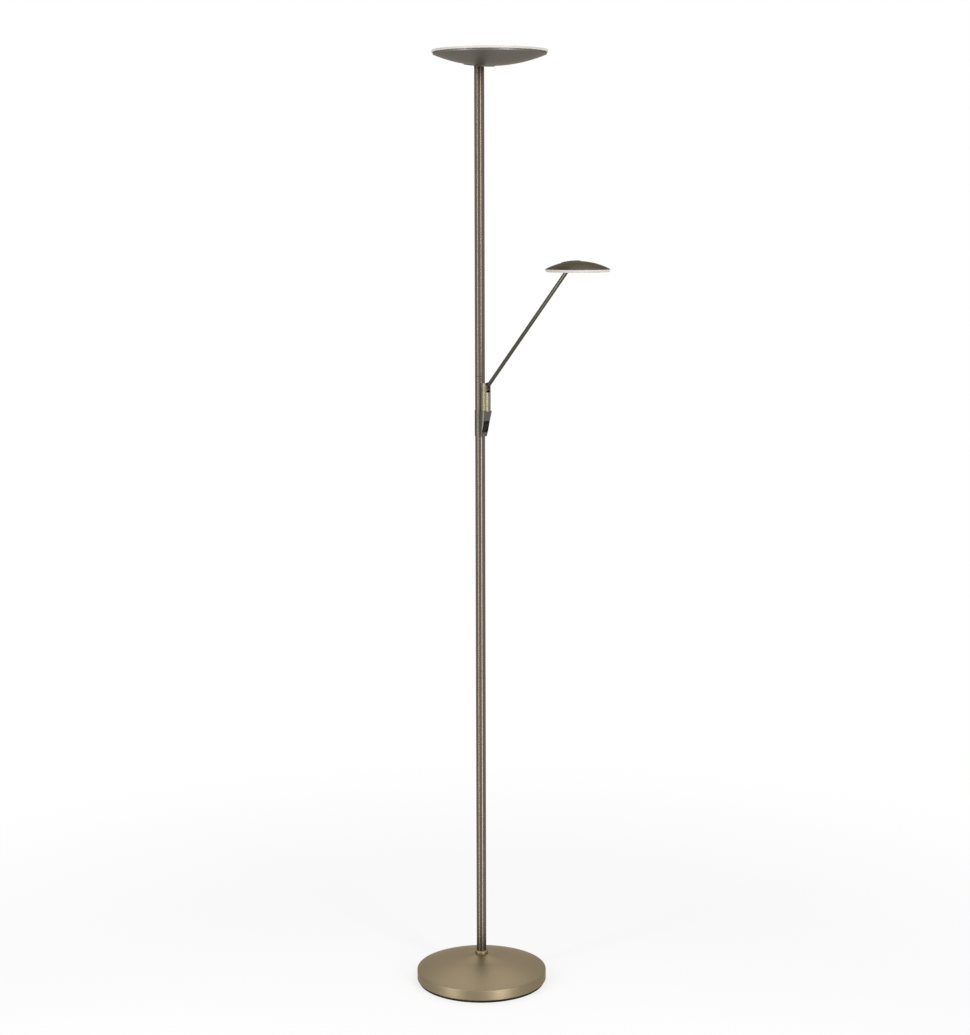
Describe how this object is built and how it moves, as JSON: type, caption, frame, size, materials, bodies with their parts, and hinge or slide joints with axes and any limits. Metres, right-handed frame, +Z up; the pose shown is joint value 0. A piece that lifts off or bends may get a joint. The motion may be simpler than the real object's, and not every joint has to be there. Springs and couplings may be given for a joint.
{
  "type": "floor lamp",
  "caption": "Slim floor lamp with a round weighted base, a shallow upward bowl on the pole top and a small flat reading head on a jointed side arm.",
  "frame": {"origin": "centre of the underside of the base, on the floor", "axes": "+Z up along the pole, +X from the pole towards the reading arm and the bowl's offset"},
  "size_m": [0.5069, 0.254, 1.8],
  "materials": {
    "satin_bronze": "satin bronze lacquer, lightly metallic",
    "iron": "as cast, oiled",
    "rubber_black": "matt moulded pad",
    "steel": "zinc plated",
    "brass": "machined",
    "opal": "opal diffusing plastic",
    "board": "white coated circuit board",
    "chip": "phosphor window in a white case",
    "case": "moulded case",
    "switch_grey": "fine spark-eroded texture",
    "cable_black": "extruded sheath",
    "nylon": "natural nylon"
  },
  "bodies": {
    "stand": {"base_cover": "satin_bronze", "foot_pad": "rubber_black", "base_plate": "steel", "base_weight": "iron", "base_washer": "steel", "base_nut": "steel", "base_nipple": "brass", "base_collar": "satin_bronze", "lower_pole": "satin_bronze", "middle_pole": "satin_bronze", "upper_pole": "satin_bronze", "pole_couplers": "steel", "pole_plugs": "steel", "cable_grommet": "rubber_black", "bowl_shell": "satin_bronze", "bowl_flange": "satin_bronze", "wedge_washer": "nylon", "bowl_nut": "steel", "bowl_nipple": "brass", "pole_cable": "cable_black", "bowl_led_board": "board", "board_spacers": "nylon", "board_screws": "steel", "bowl_leds": "chip", "led_driver": "case", "bowl_diffuser": "opal", "bracket_housing": "satin_bronze", "clamp_screw": "steel", "switch_frame": "switch_grey", "stub_tube": "satin_bronze", "seam_washer": "nylon", "swivel_washer": "steel", "swivel_bolt": "steel"},
    "rocker": {"switch_rocker": "switch_grey"},
    "swivel": {"swivel_head": "satin_bronze", "tilt_screw": "satin_bronze", "tilt_nut": "satin_bronze"},
    "arm": {"arm_tube": "satin_bronze", "arm_lower_end": "satin_bronze", "arm_upper_end": "steel", "arm_wires": "cable_black", "friction_washers": "nylon"},
    "reading_head": {"head_shell": "satin_bronze", "head_cap": "satin_bronze", "head_fork": "steel", "head_pin": "steel", "cap_screws": "steel", "head_led_board": "board", "head_posts": "nylon", "head_board_screws": "steel", "head_leds": "chip", "head_diffuser": "opal"}
  },
  "joints": [
    {"name": "arm_swivel", "type": "hinge", "parent": "stand", "child": "swivel", "pos_m": [0.0207, 0, 1.1422], "axis": [0, 0, 1], "range_deg": [-130, 130]},
    {"name": "arm_tilt", "type": "hinge", "parent": "swivel", "child": "arm", "pos_m": [0.0207, 0, 1.17296], "axis": [0, -1, 0], "range_deg": [-50, 37.5]},
    {"name": "head_tilt", "type": "hinge", "parent": "arm", "child": "reading_head", "pos_m": [0.29942, 0, 1.41017], "axis": [0, 1, 0], "range_deg": [-20, 60]},
    {"name": "rocker_turn", "type": "hinge", "parent": "stand", "child": "rocker", "pos_m": [0.01914, 0, 1.10187], "axis": [0, -1, 0], "range_deg": [0, 16]}
  ]
}
